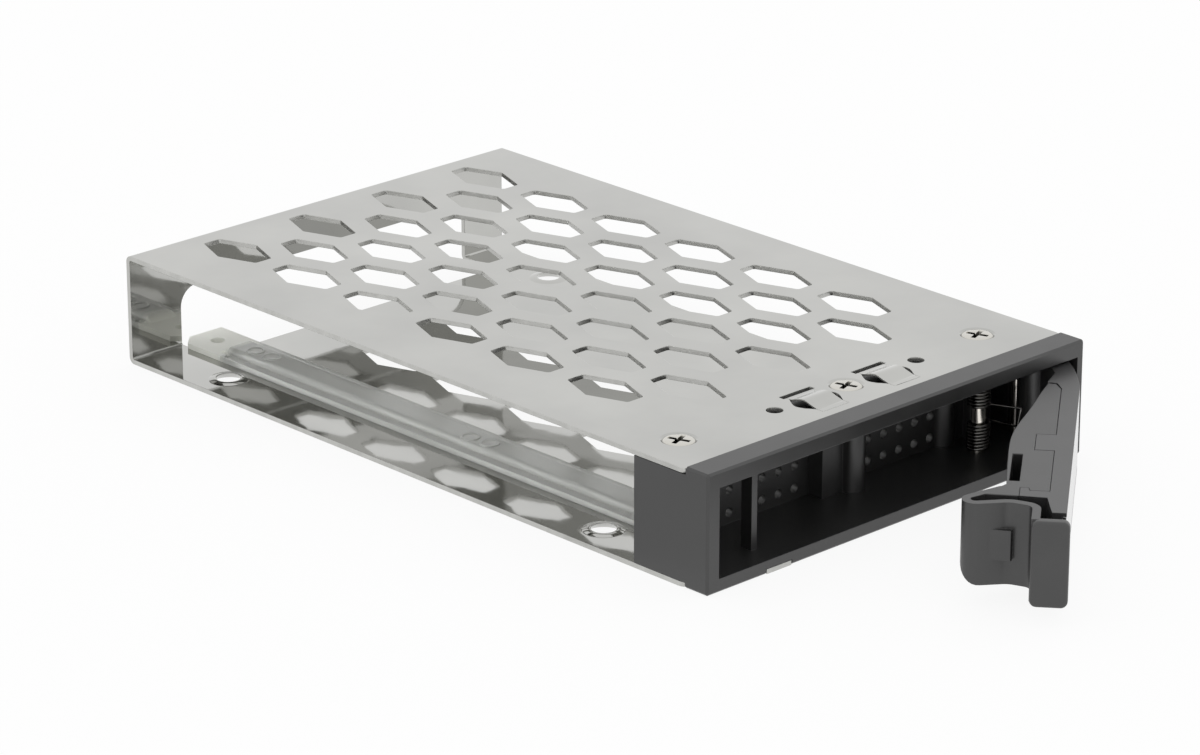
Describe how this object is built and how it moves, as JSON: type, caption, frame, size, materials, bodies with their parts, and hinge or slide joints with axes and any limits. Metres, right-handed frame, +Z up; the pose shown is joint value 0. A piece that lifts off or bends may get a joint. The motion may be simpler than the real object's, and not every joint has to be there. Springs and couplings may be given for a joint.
{
  "type": "hot swap drive caddy",
  "caption": "Folded, perforated sheet tray for a small disk drive, with a moulded front and a swinging lever that carries a sprung latch.",
  "frame": {"origin": "centre of the four drive screw holes, on the tray's underside", "axes": "+Y along the tray from the lever end to the connector end, +X to the right seen from the lever end, +Z up from the tray floor to its top sheet"},
  "size_m": [0.0716, 0.1545, 0.017],
  "materials": {
    "sheet_steel": "satin zinc coated sheet",
    "bezel_plastic": "fine grained moulding",
    "lever_plastic": "fine grained moulding",
    "latch_plastic": "fine grained moulding",
    "plate_steel": "smooth bright sheet",
    "screw_steel": "nickel plated",
    "pin_steel": "polished",
    "spring_steel": "drawn spring wire",
    "clear_plastic": "clear moulding with milky ends"
  },
  "bodies": {
    "tray": {"tray_shell": "sheet_steel", "bezel": "bezel_plastic", "screw_left": "screw_steel", "screw_middle": "screw_steel", "screw_right": "screw_steel", "lever_pivot_pin": "pin_steel", "spring_pin": "pin_steel", "stop_pin": "pin_steel", "lever_spring": "spring_steel", "light_guide": "clear_plastic"},
    "lever": {"lever_arm": "lever_plastic", "lever_latch": "latch_plastic", "lever_front_plate": "plate_steel"}
  },
  "joints": [
    {"name": "lever_hinge", "type": "hinge", "parent": "tray", "child": "lever", "pos_m": [0.03155, -0.0577, 0.00805], "axis": [0, 0, 1], "range_deg": [-39.1, 0], "stiffness_Nm_per_rad": 0.02, "deforming": ["lever_spring"]}
  ]
}
